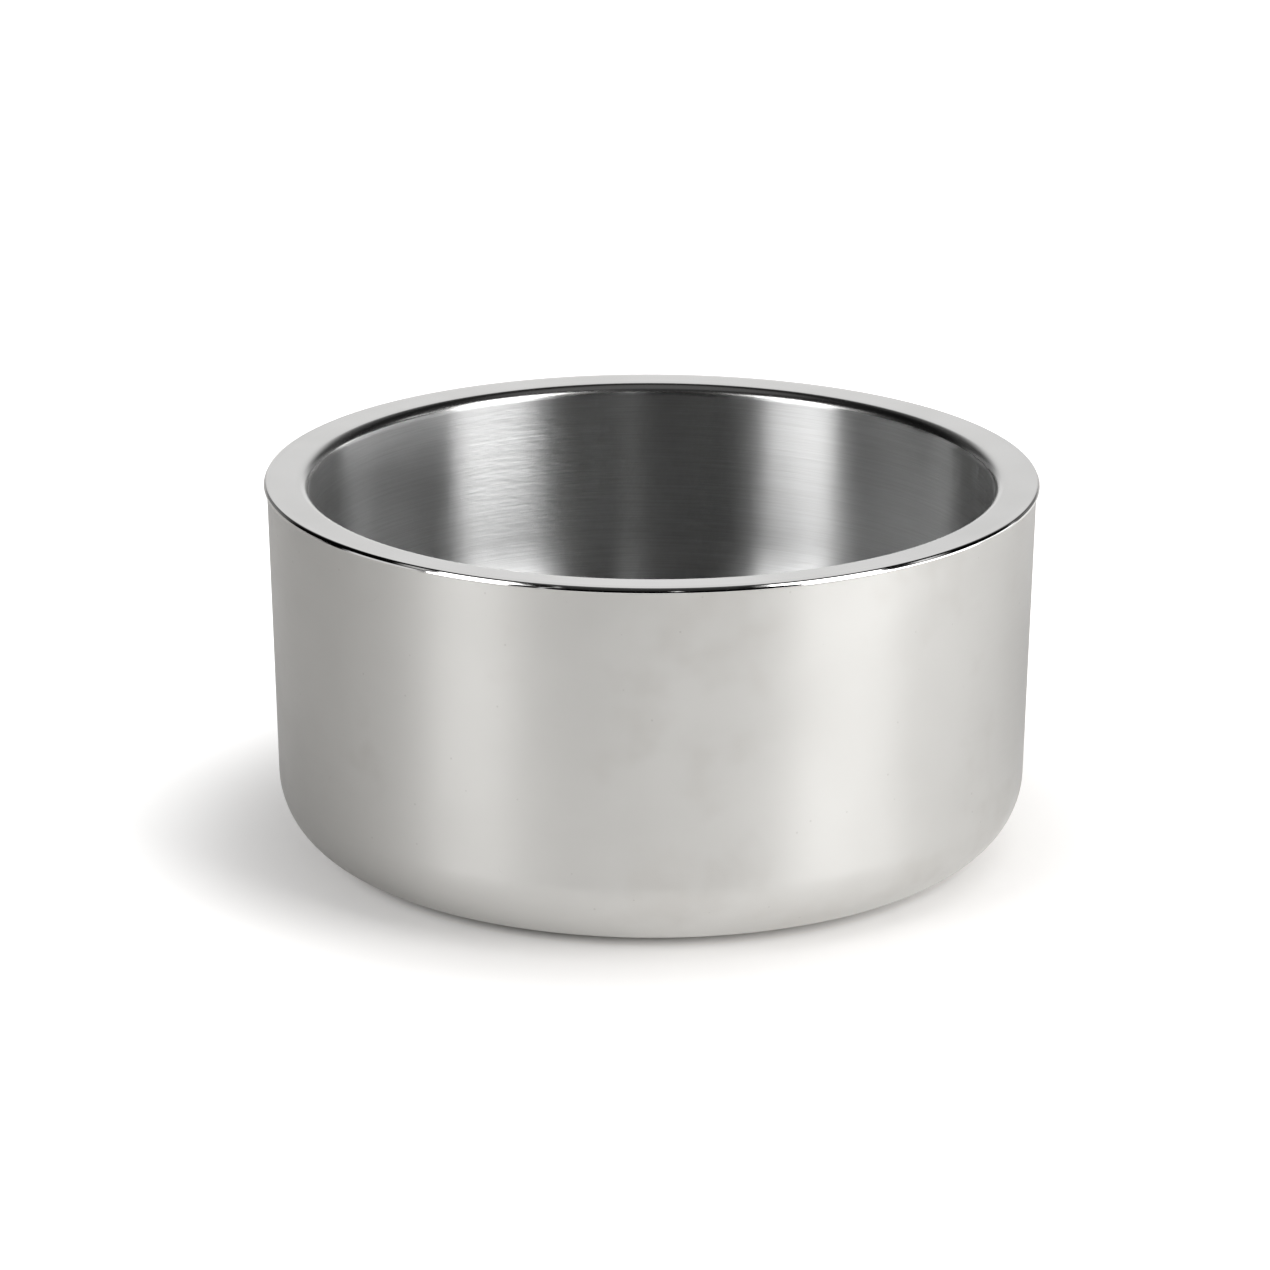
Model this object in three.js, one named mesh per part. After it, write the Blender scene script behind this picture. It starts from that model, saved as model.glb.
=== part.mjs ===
// Double-wall steel pet bowl: a pressed liner hangs by its flange in a pressed outer cup, a weld
// bead closes the two walls at the rim, and a silicone ring under the base keeps it from sliding.
// Millimetres, +Z up, origin on the floor under the middle of the bowl.
import * as THREE from "three";

// Overall size.
const HEIGHT = 96; // floor to the crest of the rim
const RIM_RADIUS = 98; // outermost edge of the rim
const WALL_TAPER = THREE.MathUtils.degToRad(1.46); // both walls lean in towards the base

// Rim.
const RIM_WIDTH = 11.4; // from the outermost edge to the wall of the liner
const RIM_FALL = 0.45; // the polished land drops this far towards the food
const CREST_INSET = 2.6; // the crest of the rim lies this far inside the outermost edge
const LIP_OVERHANG = 0.8; // the weld bead stands this far proud of the outer wall
const EDGE_DROP = 0.45; // upper corner of the outermost edge, below the crest
const MOUTH_ROUND = 3; // radius where the land turns down into the bowl

// Liner.
const LINER_SHEET = 0.7;
const LINER_HEEL_RADIUS = 44; // between the liner's wall and its floor
const FLOOR_GAP = 7; // air space between the liner's floor and the base panel

// Outer cup.
const CUP_SHEET = 0.7;
const HEEL_RADIUS = 19; // between the outer wall and the base
const BASE_LAND = 2; // flat steel band between the heel and the base recess
const BASE_RECESS = 3; // depth of the recess pressed up into the base
const BEND_RADIUS = 1; // inside radius of the two bends at the recess

// Weld bead.
const BEAD_LAP = 0.9; // the bead runs this far down the cup, below the flange
const BEAD_ROUND = 0.35; // rounding of the bead's outer corners
const BEAD_FACE = 0.75; // height of the bead's outermost face, before its corners are rounded
const BEAD_GAP = 0.05; // between the bead and the metal that it joins

// Silicone foot ring and its adhesive.
const FOOT_STAND = 1; // the ring lifts the steel this far off the floor
const FOOT_WIDTH = 13;
const FOOT_GAP = 0.3; // between the ring and the wall of the recess
const FOOT_ROUND = 0.8; // rounding of the ring's lower edges
const FOOT_SHOULDER = 1.5; // rounding of the ring's upper outer edge, clear of the recess bend
const BOND_THICKNESS = 0.3;
const BOND_INSET = 2; // the adhesive stops this far from the ring's edges

// Vent in the base panel and the plug that closes it.
const VENT_RADIUS = 2;
const PLUG_GAP = 0.1; // between the plug and the vent's edge
const PLUG_HEAD_RADIUS = 4.5;
const PLUG_HEAD_THICKNESS = 1;
const PLUG_HEAD_ROUND = 0.6;
const PLUG_BARB_LIP = 0.7; // the barb is this much wider than the vent
const PLUG_BARB_HEIGHT = 2.4;
const PLUG_TIP_RADIUS = 1.2;

// How finely round shapes are divided.
const ROUND_SEGMENTS = 72;
const PLUG_SEGMENTS = 24;
const CHORD_ERROR = 0.1; // largest gap between an arc and its chords
const CHORD_SHARE = 0.5; // on a very small arc, that gap as a share of its radius
const ARC_DIVISIONS = 2; // fewest chords on an arc

// Heights and radii that follow from the sizes above.
const taperSlope = Math.tan(WALL_TAPER);
const crestRadius = RIM_RADIUS - CREST_INSET;
const cupTopRadius = RIM_RADIUS - LIP_OVERHANG;
const cupTopHeight = HEIGHT - LINER_SHEET;
const flangeDrop = (EDGE_DROP * (CREST_INSET - LIP_OVERHANG)) / CREST_INSET;
const panelHeight = FOOT_STAND + BASE_RECESS;
const linerFloorHeight = panelHeight + CUP_SHEET + FLOOR_GAP + LINER_SHEET;
const cupBaseRadius = cupTopRadius - (cupTopHeight - FOOT_STAND) * taperSlope;
const heelRun = HEEL_RADIUS * Math.tan((Math.PI / 2 - WALL_TAPER) / 2);
const recessRadius = cupBaseRadius - heelRun - BASE_LAND;
const footOuterRadius = recessRadius - FOOT_GAP;
const footInnerRadius = footOuterRadius - FOOT_WIDTH;
const footTop = panelHeight - BOND_THICKNESS;

const at = (radius, height) => new THREE.Vector2(radius, height);

// The unit normal on the left of a step from one point to the next.
function leftNormal(from, to) {
  const step = to.clone().sub(from).normalize();
  return at(-step.y, step.x);
}

// The far corner of a sheet's cut end: the cut is level on a wall and upright on a floor or flange.
function cutEnd(point, normal, thickness) {
  const onWall = Math.abs(normal.x) > Math.abs(normal.y);
  const across = onWall ? at(1 / normal.x, 0) : at(0, 1 / normal.y);
  return point.clone().addScaledVector(across, thickness);
}

// The same open path, moved to its left by a sheet's thickness, with mitred corners.
function offsetPath(path, thickness) {
  const normals = path.slice(1).map((point, i) => leftNormal(path[i], point));
  const corners = path.slice(1, -1).map((point, i) => {
    const mitre = normals[i].clone().add(normals[i + 1]);
    return point.clone().addScaledVector(mitre, (2 * thickness) / mitre.lengthSq());
  });
  const start = cutEnd(path[0], normals[0], thickness);
  const end = cutEnd(path.at(-1), normals.at(-1), thickness);
  return [start, ...corners, end];
}

// Positive where the path turns left at a corner, negative where it turns right.
function turnAt(path, i) {
  const arriving = path[i].clone().sub(path[i - 1]);
  const leaving = path[i + 1].clone().sub(path[i]);
  return Math.atan2(arriving.cross(leaving), arriving.dot(leaving));
}

// The arc that rounds one corner of a path.
function cornerArc(path, i, radius) {
  const turn = turnAt(path, i);
  const side = Math.sign(turn);
  const run = radius * Math.tan(Math.abs(turn) / 2);
  const back = path[i - 1].clone().sub(path[i]).normalize();
  const start = path[i].clone().addScaledVector(back, run);
  const centre = start.clone().addScaledVector(leftNormal(path[i - 1], path[i]), side * radius);
  const startAngle = start.clone().sub(centre).angle();
  const chordAngle = 2 * Math.acos(1 - Math.min(CHORD_ERROR / radius, CHORD_SHARE));
  const divisions = Math.max(ARC_DIVISIONS, Math.ceil(Math.abs(turn) / chordAngle));
  const { x, y } = centre;
  const arc = new THREE.EllipseCurve(x, y, radius, radius, startAngle, startAngle + turn, side < 0);
  return arc.getPoints(divisions);
}

// A path with its inner corners rounded; radii[i] belongs to the corner path[i + 1], 0 stays sharp.
function roundedPath(path, radii) {
  const inner = radii.flatMap((radius, i) => (radius > 0 ? cornerArc(path, i + 1, radius) : [path[i + 1]]));
  return [path[0], ...inner, path.at(-1)];
}

// The far face of a pressed sheet, walked backwards: the given face has the metal on its left.
function farFace(path, radii, thickness) {
  const farRadii = radii.map((radius, i) => {
    const bent = radius - Math.sign(turnAt(path, i + 1)) * thickness;
    return radius > 0 ? bent : 0;
  });
  return roundedPath(offsetPath(path, thickness), farRadii).reverse();
}

// An outline turned about the bowl's axis; one that leaves the axis out is closed into a ring.
function turned(outline, segments = ROUND_SEGMENTS) {
  const onAxis = outline[0].x === 0;
  const profile = onAxis ? outline : [...outline, outline[0]];
  return new THREE.LatheGeometry(profile, segments).rotateX(Math.PI / 2);
}

function piece(name, geometry, finish) {
  const mesh = new THREE.Mesh(geometry, new THREE.MeshStandardMaterial(finish));
  mesh.name = name;
  return mesh;
}

// Finishes.
const SATIN_STEEL = { color: 0xc9c8c5, roughness: 0.38, metalness: 1 };
const BRUSHED_STEEL = { color: 0xc4c3c0, roughness: 0.3, metalness: 1 };
const POLISHED_STEEL = { color: 0xd6d5d2, roughness: 0.06, metalness: 1 };
const BLACK_SILICONE = { color: 0x1b1b1c, roughness: 0.75, metalness: 0 };
const GREY_SILICONE = { color: 0x8a8a88, roughness: 0.6, metalness: 0 };
const CLEAR_ADHESIVE = { color: 0xd9d6cc, roughness: 0.5, metalness: 0 };

// The outer cup, from the edge of its vent out to the heel and up the wall to the flange.
function outerShell() {
  const face = [
    at(VENT_RADIUS, panelHeight),
    at(recessRadius, panelHeight),
    at(recessRadius, FOOT_STAND),
    at(cupBaseRadius, FOOT_STAND),
    at(cupTopRadius, cupTopHeight),
  ];
  const radii = [BEND_RADIUS, BEND_RADIUS + CUP_SHEET, HEEL_RADIUS];
  const outline = [...farFace(face, radii, CUP_SHEET), ...roundedPath(face, radii)];
  return piece("outer_shell", turned(outline), SATIN_STEEL);
}

// The liner, from the edge of its flange in over the land, down the wall and across the floor.
// Polishing takes the flange's outer corner down to meet the weld bead.
function innerBowl() {
  const depth = HEIGHT - linerFloorHeight;
  const mouthRadius = RIM_RADIUS - RIM_WIDTH;
  const pressed = [
    at(cupTopRadius, 0),
    at(crestRadius, 0),
    at(mouthRadius - RIM_FALL * taperSlope, -RIM_FALL),
    at(mouthRadius - depth * taperSlope, -depth),
    at(0, -depth),
  ];
  const polished = [at(cupTopRadius, -flangeDrop), ...pressed.slice(1)];
  const radii = [0, MOUTH_ROUND, LINER_HEEL_RADIUS];
  const outline = [...farFace(pressed, radii, LINER_SHEET), ...roundedPath(polished, radii)];
  const liner = piece("inner_bowl", turned(outline), BRUSHED_STEEL);
  liner.position.z = HEIGHT;
  return liner;
}

// The closing weld: a bead over the flange's edge and the top of the cup, ground round and polished.
function rimWeld() {
  const beadInner = cupTopRadius + BEAD_GAP;
  const beadFoot = -LINER_SHEET - BEAD_LAP;
  const outline = roundedPath(
    [
      at(beadInner, beadFoot),
      at(RIM_RADIUS, -EDGE_DROP - BEAD_FACE),
      at(RIM_RADIUS, -EDGE_DROP),
      at(beadInner, -flangeDrop),
    ],
    [BEAD_ROUND, BEAD_ROUND],
  );
  const bead = piece("rim_weld", turned(outline), POLISHED_STEEL);
  bead.position.z = HEIGHT;
  return bead;
}

// The silicone ring that the bowl stands on, in the outer part of the base recess.
function footRing() {
  const start = at(footInnerRadius, footTop);
  const outline = roundedPath(
    [start, at(footInnerRadius, 0), at(footOuterRadius, 0), at(footOuterRadius, footTop), start],
    [FOOT_ROUND, FOOT_ROUND, FOOT_SHOULDER],
  );
  return piece("foot_ring", turned(outline.slice(0, -1)), BLACK_SILICONE);
}

// The adhesive film that holds the silicone ring to the base panel.
function footBond() {
  const inner = footInnerRadius + BOND_INSET;
  const outer = footOuterRadius - BOND_INSET;
  const outline = [at(inner, footTop), at(outer, footTop), at(outer, panelHeight), at(inner, panelHeight)];
  return piece("foot_bond", turned(outline), CLEAR_ADHESIVE);
}

// The plug in the vent: a head under the base panel, a stem through it and a barb above it.
function ventPlug() {
  const stemRadius = VENT_RADIUS - PLUG_GAP;
  const barbRadius = VENT_RADIUS + PLUG_BARB_LIP;
  const barbFoot = CUP_SHEET + PLUG_GAP;
  const outline = roundedPath(
    [
      at(0, -PLUG_HEAD_THICKNESS),
      at(PLUG_HEAD_RADIUS, -PLUG_HEAD_THICKNESS),
      at(PLUG_HEAD_RADIUS, 0),
      at(stemRadius, 0),
      at(stemRadius, barbFoot),
      at(barbRadius, barbFoot),
      at(PLUG_TIP_RADIUS, barbFoot + PLUG_BARB_HEIGHT),
      at(0, barbFoot + PLUG_BARB_HEIGHT),
    ],
    [PLUG_HEAD_ROUND, 0, 0, 0, 0, 0],
  );
  const plug = piece("vent_plug", turned(outline, PLUG_SEGMENTS), GREY_SILICONE);
  plug.position.z = panelHeight;
  return plug;
}

const bowl = new THREE.Group();
bowl.add(outerShell(), innerBowl(), rimWeld(), footRing(), footBond(), ventPlug());

export default bowl;
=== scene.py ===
import math

import bmesh
import bpy
from mathutils import Euler, Matrix, Vector


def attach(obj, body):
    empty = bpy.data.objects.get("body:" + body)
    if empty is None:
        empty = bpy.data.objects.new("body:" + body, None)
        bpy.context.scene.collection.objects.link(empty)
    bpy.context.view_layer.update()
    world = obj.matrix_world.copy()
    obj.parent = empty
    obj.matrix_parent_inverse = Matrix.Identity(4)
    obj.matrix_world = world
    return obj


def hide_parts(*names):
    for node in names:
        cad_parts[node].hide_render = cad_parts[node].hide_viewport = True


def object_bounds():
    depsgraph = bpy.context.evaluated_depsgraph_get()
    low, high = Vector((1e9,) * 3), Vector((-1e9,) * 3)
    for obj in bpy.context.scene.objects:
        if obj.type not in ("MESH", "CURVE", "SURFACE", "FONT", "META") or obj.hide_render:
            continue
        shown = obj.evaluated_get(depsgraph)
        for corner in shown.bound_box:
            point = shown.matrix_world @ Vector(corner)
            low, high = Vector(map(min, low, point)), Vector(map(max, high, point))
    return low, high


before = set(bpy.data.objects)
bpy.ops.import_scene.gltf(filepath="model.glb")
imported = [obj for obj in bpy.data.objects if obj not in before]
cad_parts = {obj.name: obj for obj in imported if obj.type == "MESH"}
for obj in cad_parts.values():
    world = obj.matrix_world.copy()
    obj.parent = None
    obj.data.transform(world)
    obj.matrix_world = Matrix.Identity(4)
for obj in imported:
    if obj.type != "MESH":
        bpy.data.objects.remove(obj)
cad_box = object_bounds()


# Outer shell: the cup that shows from outside, deep drawn from stainless sheet in one piece with its
# rounded heel, standing rim and recessed base panel. A vent hole is punched in the panel.
# The wall is ground to a fine satin round the bowl, and handling has left faint clouds, pits and hairlines.
MM = 0.001
ROUND_STEPS = 320
BEND_STEP = math.radians(5)
SHARP_CORNER = math.radians(35)
SAME_PLACE = 0.002 * MM
SHEET_THICKNESS = 0.7 * MM


def spun_sheet(name, profile, steps=ROUND_STEPS):
    """Draws a ring along a profile, as sheet is spun over a former, and rolls its corners over.

    A corner is its radius, its height and the radius that it is bent to, all in millimetres.
    """
    corners = [[MM * value for value in corner] for corner in profile]
    radius, height, _ = corners[0]
    bpy.ops.object.select_all(action="DESELECT")
    bpy.ops.mesh.primitive_circle_add(vertices=steps, radius=radius, location=(0, 0, height))
    bpy.ops.object.transform_apply()
    sheet = bpy.context.object
    sheet.name = sheet.data.name = name
    bpy.ops.object.mode_set(mode="EDIT")
    bpy.ops.mesh.select_mode(type="EDGE")
    bpy.ops.mesh.select_all(action="SELECT")
    for next_radius, next_height, _ in corners[1:]:
        rise = (0, 0, next_height - height)
        bpy.ops.mesh.extrude_edges_move(TRANSFORM_OT_translate={"value": rise})
        growth = next_radius / radius
        bpy.ops.transform.resize(value=(growth, growth, 1))
        radius, height = next_radius, next_height
    bpy.ops.mesh.select_all(action="SELECT")
    bpy.ops.mesh.remove_doubles(threshold=SAME_PLACE)
    for before, corner, after in zip(corners, corners[1:], corners[2:]):
        radius, height, bend = corner
        if bend:
            into = Vector(corner[:2]) - Vector(before[:2])
            turn = into.angle(Vector(after[:2]) - Vector(corner[:2]))
            bpy.ops.mesh.select_all(action="DESELECT")
            select_loop(sheet, radius, height)
            bpy.ops.mesh.bevel(
                offset=bend * math.tan(turn / 2), segments=max(4, math.ceil(turn / BEND_STEP))
            )
    return sheet


def select_loop(sheet, radius, height):
    """Selects the edges that run round the axis at this radius and height."""
    mesh = bmesh.from_edit_mesh(sheet.data)
    for edge in mesh.edges:
        edge.select_set(
            all(abs(v.co.xy.length - radius) + abs(v.co.z - height) < SAME_PLACE for v in edge.verts)
        )
    bmesh.update_edit_mesh(sheet.data)


def face_towards(sheet, direction):
    """Turns the sheet's faces the same way, so that the lowest flat face points in this direction."""
    bpy.ops.mesh.select_all(action="SELECT")
    bpy.ops.mesh.normals_make_consistent(inside=False)
    mesh = bmesh.from_edit_mesh(sheet.data)
    flat = [face for face in mesh.faces if abs(face.normal.z) > 0.999]
    if min(flat, key=lambda face: face.calc_center_median().z).normal.z * direction < 0:
        bpy.ops.mesh.flip_normals()


def thicken(sheet, thickness):
    """Gives the sheet its thickness on the side away from its faces."""
    bpy.ops.object.mode_set(mode="OBJECT")
    bpy.ops.object.modifier_add(type="SOLIDIFY")
    wall = sheet.modifiers["Solidify"]
    wall.thickness, wall.offset, wall.use_even_offset = thickness, -1, True
    bpy.ops.object.modifier_apply(modifier="Solidify")


def set_smooth(piece):
    """Shades the bends smooth, and lets the large faces lead the shading where they meet them."""
    bpy.ops.object.mode_set(mode="OBJECT")
    bpy.ops.object.shade_smooth_by_angle(angle=SHARP_CORNER)
    bpy.ops.object.modifier_add(type="WEIGHTED_NORMAL")
    piece.modifiers["WeightedNormal"].keep_sharp = True
    bpy.ops.object.modifier_apply(modifier="WeightedNormal")


def fill(socket, value):
    """Links a pattern to a socket, or sets the socket to a plain number or colour."""
    if isinstance(value, Value):
        value.tree.links.new(value.socket, socket)
    else:
        socket.default_value = value


class Value:
    """A shader socket, so that sums on a pattern are written as they are on paper."""

    def __init__(self, tree, socket=None):
        self.tree, self.socket = tree, socket

    def node(self, kind, settings=None, inputs=None, output=0):
        """Adds a node with these settings and these values or links, and returns one output."""
        made = self.tree.nodes.new(kind)
        for name, setting in (settings or {}).items():
            setattr(made, name, setting)
        for name, value in (inputs or {}).items():
            fill(next(s for s in made.inputs if name in (s.identifier, s.name)), value)
        found = made.outputs[0] if output == 0 else next(
            s for s in made.outputs if output in (s.identifier, s.name)
        )
        return Value(self.tree, found)

    def maths(self, operation, first, second=0.0):
        return self.node(
            "ShaderNodeMath", {"operation": operation}, {"Value": first, "Value_001": second}
        )

    def __add__(self, other):
        return self.maths("ADD", self, other)

    def __sub__(self, other):
        return self.maths("SUBTRACT", self, other)

    def __rsub__(self, other):
        return self.maths("SUBTRACT", other, self)

    def __mul__(self, other):
        return self.maths("MULTIPLY", self, other)

    def __truediv__(self, other):
        return self.maths("DIVIDE", self, other)

    def __abs__(self):
        return self.maths("ABSOLUTE", self)

    __radd__, __rmul__ = __add__, __mul__

    def fade(self, start, end):
        """0 up to start, 1 from end on, with a soft change between; start may be the larger."""
        low, high, at_low, at_high = (start, end, 0.0, 1.0) if start < end else (end, start, 1.0, 0.0)
        return self.node(
            "ShaderNodeMapRange",
            {"interpolation_type": "SMOOTHSTEP"},
            {"Value": self, "From Min": low, "From Max": high, "To Min": at_low, "To Max": at_high},
        )

    def blend(self, none, full):
        """The colour none where this value is 0, and full where it is 1."""
        return self.node(
            "ShaderNodeMix",
            {"data_type": "RGBA"},
            {"Factor_Float": self, "A_Color": none, "B_Color": full},
            "Result_Color",
        )

    def away_from(self, point):
        """How far this place is from a point, in metres."""
        return self.node(
            "ShaderNodeVectorMath",
            {"operation": "DISTANCE"},
            {"Vector": self, "Vector_001": point},
            "Value",
        )

    def axes(self):
        """The x, y and z of this place."""
        split = self.node("ShaderNodeSeparateXYZ", inputs={"Vector": self}).socket.node
        return [Value(self.tree, socket) for socket in split.outputs]


def start_finish(name):
    """Starts a material, and returns it with its shader and the place on the piece."""
    finish = bpy.data.materials.new(name)
    finish.use_nodes = True
    tree = finish.node_tree
    place = Value(tree).node("ShaderNodeTexCoord", output="Object")
    return finish, tree.nodes["Principled BSDF"], place


def cloud(place, size, detail=2.0, roughness=0.5):
    """A soft random pattern, 0 to 1, whose clouds are about this many metres across."""
    return place.node(
        "ShaderNodeTexNoise",
        inputs={"Vector": place, "Scale": 1 / size, "Detail": detail, "Roughness": roughness},
    )


def grinding(place, lines_around, line_width, detail=2.0):
    """Lines round the bowl's axis, each about a share of a turn long and this many metres wide."""
    x, y, z = place.axes()
    radius = place.maths("SQRT", x * x + y * y + 1e-9)
    lines = place.node(
        "ShaderNodeCombineXYZ",
        inputs={
            "X": x / radius * lines_around,
            "Y": y / radius * lines_around,
            "Z": (z + radius) / line_width,
        },
    )
    return place.node(
        "ShaderNodeTexNoise", inputs={"Vector": lines, "Scale": 1.0, "Detail": detail}
    )


def cells(place, scale):
    """How far this place is from the nearest of many scattered dots, in cells."""
    return place.node(
        "ShaderNodeTexVoronoi", inputs={"Vector": place, "Scale": scale}, output="Distance"
    )


def bump(height, strength, depth):
    """A relief of about this depth in metres, for a finish's normal."""
    return height.node(
        "ShaderNodeBump", inputs={"Strength": strength, "Distance": depth, "Height": height}
    )


def feed(shader, **inputs):
    """Fills the shader's sockets; an underscore stands for a space."""
    for name, value in inputs.items():
        fill(shader.inputs[name.replace("_", " ")], value)


vent_radius, panel_height, panel_bend = 2.0, 4.0, 1.0
recess_radius, standing_bend = 74.275, 1.7
underside, heel_radius, heel_bend = 1.0, 94.797, 19.0
wall_top_radius, wall_top = 97.191, 94.95
shell_profile = [
    (vent_radius, panel_height, 0),
    (recess_radius, panel_height, panel_bend),
    (recess_radius, underside, standing_bend),
    (heel_radius, underside, heel_bend),
    (wall_top_radius, wall_top, 0),
]
outer_shell = spun_sheet("shell_outer", shell_profile)
face_towards(outer_shell, -1)
thicken(outer_shell, SHEET_THICKNESS)
set_smooth(outer_shell)

dull_satin, bright_satin = (0.57, 0.566, 0.55, 1), (0.603, 0.599, 0.583, 1)
smudged_satin, pitted_satin = (0.557, 0.549, 0.53, 1), (0.30, 0.29, 0.28, 1)
satin, shader, place = start_finish("satin_steel")
handling = cloud(place, 0.045)
fine_cloud = cloud(place, 0.012, 3.0)
grain = grinding(place, 9.0, 0.00035, 3.0)
pit = cells(place, 160.0).fade(0.055, 0.03)
hairline = abs(cloud(place, 0.009, 1.0) - 0.5).fade(0.004, 0.001) * cloud(place, 0.012).fade(0.68, 0.74)
mark = place.maths("MAXIMUM", pit * 0.8, hairline * 0.6)
smudge = cloud(place, 0.030, 3.0, 0.6).fade(0.52, 0.72)
tone = smudge.blend(handling.fade(0.35, 0.68).blend(dull_satin, bright_satin), smudged_satin)
feed(
    shader,
    Base_Color=(mark * 0.35).blend(tone, pitted_satin),
    Metallic=1.0,
    Roughness=0.37 + 0.06 * (handling - 0.5) + 0.05 * (fine_cloud - 0.5) + 0.08 * (grain - 0.5),
    Anisotropic=0.78,
    Anisotropic_Rotation=0.25,
    Normal=bump(grain - 0.8 * mark, 0.12, 0.00004),
)
outer_shell.data.materials.append(satin)
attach(outer_shell, "root")
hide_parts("outer_shell")


# Inner bowl: the liner that holds the food, drawn from the same sheet with a broad flange for a rim, by
# which it hangs in the outer shell. The inside is brushed round and rubbed in one place at the back left.
# The rim is polished to a mirror, and the rounding of its mouth a little less.
crest = cad_box[1][2] / MM
crest_radius, crest_bend = 95.7, 1.2
flange_edge = (97.2, 95.94, 0)
mouth_radius, mouth_height, mouth_bend = 86.59, 95.55, 3.0
foot_radius, floor_height, foot_bend = 84.47, 12.4, 44.0
liner_profile = [
    flange_edge,
    (crest_radius, crest, crest_bend),
    (mouth_radius, mouth_height, mouth_bend),
    (foot_radius, floor_height, foot_bend),
    (0.0, floor_height, 0),
]
inner_bowl = spun_sheet("liner_inner", liner_profile)
face_towards(inner_bowl, 1)
thicken(inner_bowl, SHEET_THICKNESS)
set_smooth(inner_bowl)

brushed_low, brushed_high = (0.635, 0.635, 0.632, 1), (0.71, 0.712, 0.712, 1)
rubbed_place = (-0.033, 0.079, 0.072)
brushed, shader, place = start_finish("brushed_steel")
long_lines = grinding(place, 3.0, 0.0006, 2.0)
fine_lines = grinding(place, 7.0, 0.0002, 2.0)
wash = cloud(place, 0.03)
rubs = grinding(place, 15.0, 0.0012, 1.0)
rubbed = place.away_from(rubbed_place).fade(0.032, 0.008)
feed(
    shader,
    Base_Color=(0.6 * long_lines + 0.4 * fine_lines).fade(0.3, 0.7).blend(brushed_low, brushed_high),
    Metallic=1.0,
    Roughness=0.292 + 0.02 * (long_lines - 0.5) + 0.03 * (fine_lines + wash - 1.0),
    Anisotropic=1.0,
    Anisotropic_Rotation=0.25,
    Normal=bump(0.4 * long_lines + 0.6 * fine_lines + 1.8 * rubbed * rubs, 0.45, 0.0001),
)

hazed_polish, clear_polish = (0.65, 0.645, 0.635, 1), (0.68, 0.675, 0.667, 1)
mouth_centre = (0.0, 0.0, 95.6 * MM)
polished, shader, place = start_finish("polished_rim")
buffing = grinding(place, 5.0, 0.00025, 2.0)
haze = cloud(place, 0.02)
mouth = place.away_from(mouth_centre).fade(0.0915, 0.0880)
feed(
    shader,
    Base_Color=haze.fade(0.3, 0.7).blend(hazed_polish, clear_polish),
    Metallic=1.0,
    Roughness=0.07 + 0.15 * mouth + 0.04 * (haze - 0.4) + 0.03 * (buffing - 0.5),
    Normal=bump(buffing, 0.05, 0.00002),
)
inner_bowl.data.materials.append(brushed)
inner_bowl.data.materials.append(polished)
polish_starts = 93.7 * MM
for face in inner_bowl.data.polygons:
    face.material_index = int(face.center.z > polish_starts)
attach(inner_bowl, "root")
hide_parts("inner_bowl")


# Rim weld: the bead that closes the rim, laid over the flange's edge and the top of the outer shell.
# It is ground to a round lip a little proud of the wall and polished with the rim.
def finish_solid(piece):
    """Turns a closed piece's faces outwards and shades it."""
    bpy.ops.mesh.select_all(action="SELECT")
    bpy.ops.mesh.normals_make_consistent(inside=False)
    set_smooth(piece)


rim_radius = cad_box[1][0] / MM
bead_foot = (flange_edge[0], 94.4, 0)
bead_profile = [
    bead_foot,
    (rim_radius, 94.8, 0.15),
    (rim_radius - 0.12, 95.3, 0.6),
    (rim_radius - 0.45, 95.86, 0.4),
    flange_edge,
    bead_foot,
]
rim_weld = spun_sheet("rim_bead", bead_profile)
finish_solid(rim_weld)
rim_weld.data.materials.append(polished)
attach(rim_weld, "root")
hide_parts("rim_weld")


# Vent plug: a moulded silicone plug, pressed up into the vent hole after welding. Its head shows under
# the base panel, and a barb above the panel holds it.
def moulded(finish_name, light, dark, grain_size):
    """Silicone rubber: matt, with a fine mould texture and a little dust on it."""
    finish, shader, place = start_finish(finish_name)
    dust = cloud(place, 0.006, 3.0)
    texture = cloud(place, grain_size, 2.0)
    feed(
        shader,
        Base_Color=dust.fade(0.45, 0.75).blend(dark, light),
        Roughness=0.62 + 0.2 * (dust - 0.5) + 0.1 * (texture - 0.5),
        Normal=bump(texture, 0.3, 0.00005),
    )
    return finish


PLUG_STEPS = 48
gate_radius, head_radius, head_bottom = 0.3, 4.5, 3.0
stem_radius, barb_radius, barb_bottom = 1.9, 2.7, 4.8
tip_radius, tip_top = 1.2, 7.2
plug_profile = [
    (gate_radius, head_bottom, 0),
    (head_radius, head_bottom, 0.6),
    (head_radius, panel_height, 0),
    (stem_radius, panel_height, 0.1),
    (stem_radius, barb_bottom, 0),
    (barb_radius, barb_bottom, 0.2),
    (tip_radius, tip_top, 0.5),
    (0.0, tip_top, 0),
]
vent_plug = spun_sheet("plug_vent", plug_profile, PLUG_STEPS)
bpy.ops.mesh.select_all(action="DESELECT")
select_loop(vent_plug, gate_radius * MM, head_bottom * MM)
bpy.ops.mesh.edge_face_add()
finish_solid(vent_plug)
dusty_grey, mould_grey = (0.29, 0.29, 0.285, 1), (0.235, 0.235, 0.23, 1)
vent_plug.data.materials.append(moulded("grey_silicone", dusty_grey, mould_grey, 0.0003))
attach(vent_plug, "root")
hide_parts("vent_plug")


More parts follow.
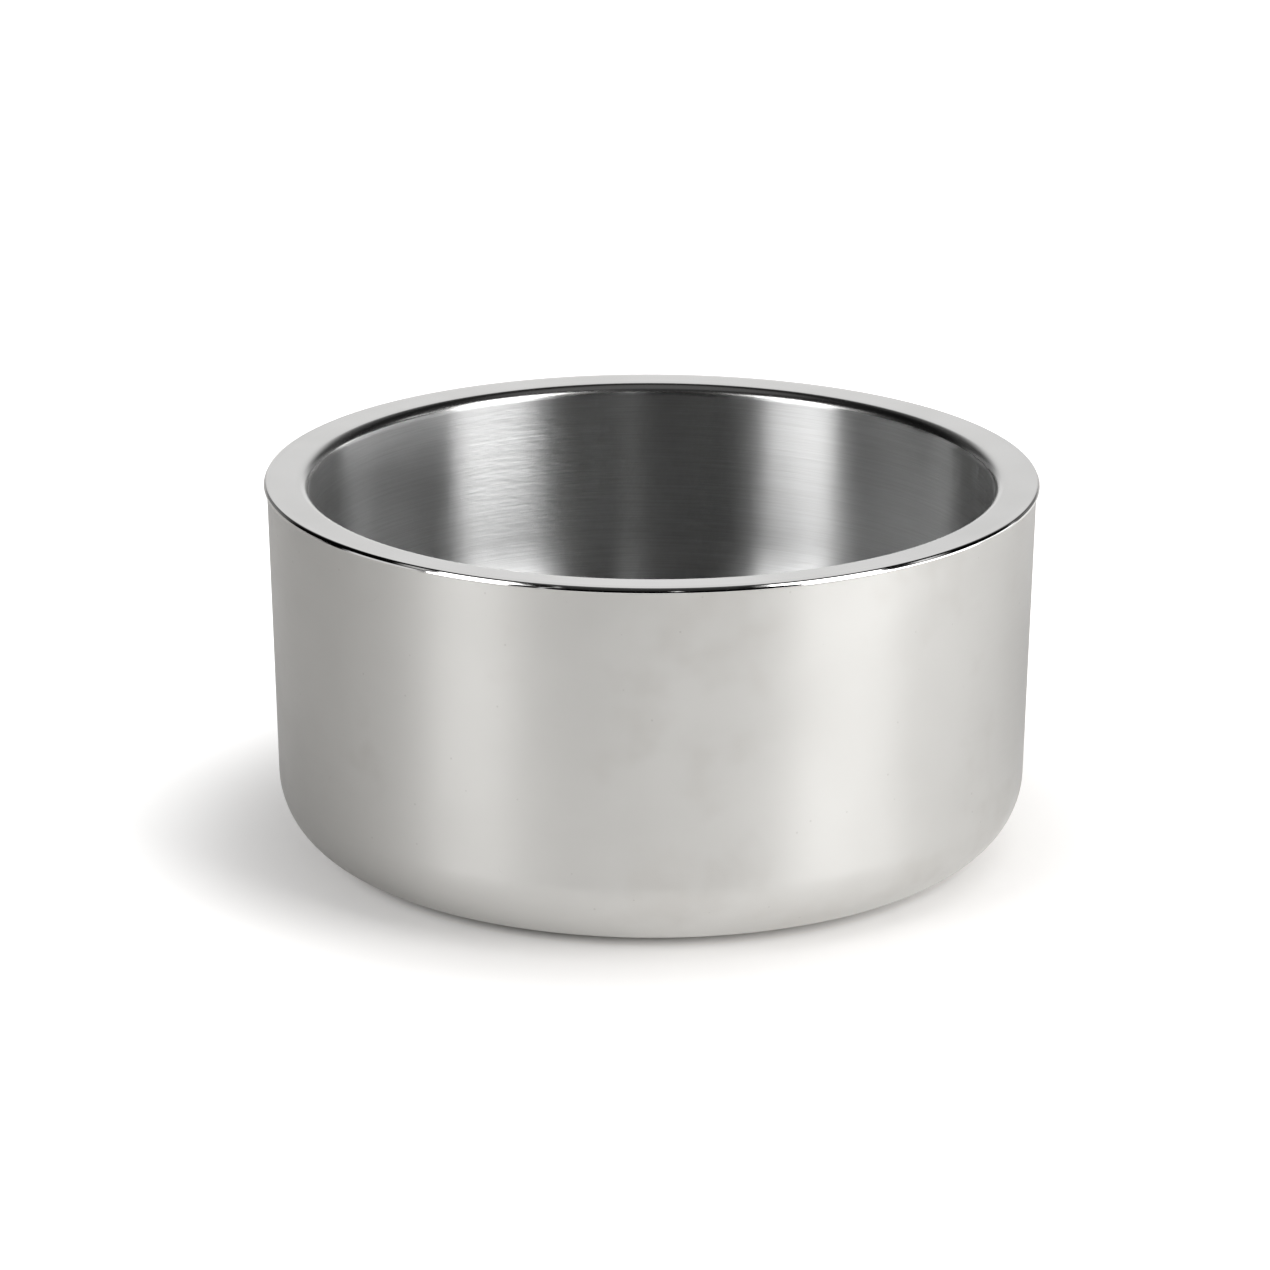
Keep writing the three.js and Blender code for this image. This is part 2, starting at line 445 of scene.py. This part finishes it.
# Foot bond: a thin film of clear adhesive between the base panel and the foot ring. Its CAD solid is right,
# so it stays and only gets its finish: a cured film with small bubbles, slightly yellow.
cured_film, bubbly_film = (0.66, 0.64, 0.57, 1), (0.74, 0.73, 0.69, 1)
bond, shader, place = start_finish("clear_adhesive")
bubbles = cells(place, 700.0).fade(0.35, 0.2)
film = cloud(place, 0.008)
feed(
    shader,
    Base_Color=(0.6 * film + 0.5 * bubbles).blend(cured_film, bubbly_film),
    Roughness=0.25 + 0.2 * film,
    Normal=bump(bubbles, 0.4, 0.00005),
)
bond_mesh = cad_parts["foot_bond"].data
bond_mesh.materials.clear()
bond_mesh.materials.append(bond)


# Foot ring: a moulded ring of black silicone that sits in the base recess, bonded to the panel.
# The bowl stands on it, so it keeps the steel off the floor and stops the bowl from sliding.
RING_STEPS = 192
ring_inside, ring_outside, ring_top = 60.975, 73.975, 3.7
tread_bend, ring_top_bend = 0.8, 1.5
ring_profile = [
    (ring_inside, ring_top, 0),
    (ring_inside, 0.0, tread_bend),
    (ring_outside, 0.0, tread_bend),
    (ring_outside, ring_top, ring_top_bend),
    (ring_inside, ring_top, 0),
]
foot_ring = spun_sheet("ring_foot", ring_profile, RING_STEPS)
finish_solid(foot_ring)
dusty_black, mould_black = (0.05, 0.05, 0.05, 1), (0.026, 0.026, 0.028, 1)
foot_ring.data.materials.append(moulded("black_silicone", dusty_black, mould_black, 0.0004))
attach(foot_ring, "root")
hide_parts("foot_ring")


# Floor: a wide sweep of white paper, which takes the bowl's shadow. To the camera it also glows with
# painted white, held back close to the bowl so that the lamps' shadow shows there, and plain white away
# from it. In the steel
# the floor shows a painted reflection: a glow strongest in front of the bowl and on its right, and painted
# shade on its left, on its back left and close under the heel.
bpy.ops.object.select_all(action="DESELECT")
bpy.ops.mesh.primitive_plane_add(size=8.0)
floor = bpy.context.object
floor.name = "studio_floor"
paper_white = (0.835, 0.818, 0.802, 1)
shadow_centre, heel_shade_centre = (0.002, -0.002, 0.0), (-0.012, 0.004, 0.0)
paper = bpy.data.materials.new("white_paper")
paper.use_nodes = True
paper.node_tree.nodes.remove(paper.node_tree.nodes["Principled BSDF"])
sheet = Value(paper.node_tree)
seen, mirrored, through = (
    sheet.node("ShaderNodeLightPath", output=f"Is {kind} Ray")
    for kind in ("Camera", "Glossy", "Transmission")
)
spot = sheet.node("ShaderNodeTexCoord", output="Object")
across, depth, _ = spot.axes()
away = spot.away_from((0.0, 0.0, 0.0))
# Painted white for the camera: none inside the heel's contact line and little near the shadow centre, so
# the shadow shows only close to the bowl.
seen_white = (
    0.24 * away.fade(0.076, 0.086) + 0.76 * spot.away_from(shadow_centre).fade(0.078, 0.178)
)
# Painted reflection near the bowl: brighter in front and on the right, with painted shade close under the
# heel that reaches further on the left.
painted_near_glow = spot.away_from(heel_shade_centre).fade(0.073, 0.092) * (
    0.15
    + 0.18 * across.fade(-0.14, 0.06) * depth.fade(0.15, -0.05)
    + 0.29 * depth.fade(-0.06, -0.14) * away.fade(0.38, 0.18)
)
far = 0.15 * away.fade(0.15, 0.40) + 0.34 * away.fade(0.30, 0.75)
# Painted shade: the far glow is cut away on the back left.
painted_floor_reflection = painted_near_glow + far * (depth - across).fade(0.5, 0.0)
reflected = sheet.maths("MAXIMUM", mirrored, through)
matt = sheet.node("ShaderNodeBsdfDiffuse", inputs={"Color": paper_white})
glow = sheet.node(
    "ShaderNodeEmission", inputs={"Strength": seen * seen_white + reflected * painted_floor_reflection}
)
both = sheet.node("ShaderNodeAddShader", inputs={"Shader": matt, "Shader_001": glow})
fill(paper.node_tree.nodes["Material Output"].inputs["Surface"], both)
floor.data.materials.append(paper)


# Light: a tall softbox on the right and a smaller one on the left, both in front of the bowl, and a lamp
# over it for the floor's shadow. The steel mirrors a dark room with a pale backdrop behind the bowl, low
# white boards at its sides, small high boards that glint on the lip, two thin strips and a dim ceiling.
def softbox(name, azimuth, elevation, distance, width, height, power):
    """A flat lamp aimed at the bowl; azimuth 0 is the camera's side and grows to the right."""
    turn, lift = math.radians(azimuth), math.radians(elevation)
    place = distance * Vector(
        (math.sin(turn) * math.cos(lift), -math.cos(turn) * math.cos(lift), math.sin(lift))
    )
    lamp = bpy.data.lights.new(name, "AREA")
    lamp.shape, lamp.size, lamp.size_y, lamp.energy = "RECTANGLE", width, height, power
    holder = bpy.data.objects.new(name, lamp)
    bowl_middle = Vector((0, 0, 0.05))
    holder.location = place + bowl_middle
    holder.rotation_euler = place.to_track_quat("Z", "Y").to_euler()
    holder.visible_camera = False
    bpy.context.scene.collection.objects.link(holder)
    return holder


softbox("softbox_right", azimuth=57.4, elevation=28, distance=3.0, width=1.59, height=2.42, power=53.5)
softbox("softbox_left", azimuth=-54, elevation=22.5, distance=3.0, width=1.385, height=1.88, power=31.8)
over = softbox("lamp_over", azimuth=95, elevation=68, distance=1.5, width=1.1, height=1.1, power=8.0)
over.visible_glossy = False

studio = bpy.data.worlds.new("studio")
bpy.context.scene.world = studio
studio.use_nodes = True
sky = Value(studio.node_tree)
across, depth, up = sky.node("ShaderNodeTexCoord", output="Generated").axes()
bearing = sky.maths("ARCTAN2", across, depth * -1.0) * math.degrees(1)
height = sky.maths("ARCSINE", up) * math.degrees(1)


def board(left, right, foot, top, brightness, soft=3.0):
    """A white board from one bearing to another and from one height to another, all in degrees."""
    sides = bearing.fade(left - soft, left + soft) * bearing.fade(right + soft, right - soft)
    ends = height.fade(foot - soft, foot + soft) * height.fade(top + soft, top - soft)
    return sides * ends * brightness


pale_paper = 0.77 + 0.08 * height.fade(13, 22)
backdrop = abs(across).fade(0.50, 0.12) * depth.fade(0.3, 0.5) * height.fade(33, 23) * pale_paper
back_wall = depth.fade(0.55, 0.70) * height.fade(50, 44) * 0.06
back_floor = depth.fade(0.60, 0.80) * height.fade(14, 8) * 0.18
right_boards = board(66, 84, -9, 8, 3.6) + board(84, 108, -9, 8, 3.1) + board(108, 130, -9, 8, 2.8)
left_board = board(-98, -70, -9, 8, 0.9)
lip_boards = board(88, 100, 25, 31, 1.1) + board(36, 44, 40, 46, 0.8) + board(-84, -74, 29, 35, 0.6)
front_wall = board(-30, 30, 40, 48, 0.035)
strips = board(6.3, 8.5, 12, 34, 1.7, 0.6) + board(-32.5, -30.5, 4, 42, 0.7, 0.6)
ceiling = height.fade(56, 72) * 0.12
unlit_room = 0.001
room = (
    backdrop + back_wall + back_floor + right_boards + left_board + lip_boards + front_wall + strips
    + ceiling + unlit_room
)
from_camera = sky.node("ShaderNodeLightPath", output="Is Camera Ray")
background = studio.node_tree.nodes["Background"]
feed(background, Color=(1, 1, 1, 1), Strength=sky.maths("MAXIMUM", room, from_camera))


# Camera: level with the photograph's, a long lens looking down on the bowl from the front.
lens = bpy.data.cameras.new("photo_camera")
lens.sensor_width, lens.lens = 36.0, 164.85
camera = bpy.data.objects.new("photo_camera", lens)
camera.location = (-0.004162, -1.412989, 0.503437)
pitch, roll = math.radians(72.332), math.radians(0.105)
camera.rotation_euler = (Euler((pitch, 0, 0)).to_matrix() @ Matrix.Rotation(roll, 3, "Z")).to_euler()
bpy.context.scene.collection.objects.link(camera)
bpy.context.scene.camera = camera
bpy.context.scene.view_settings.view_transform = "Standard"
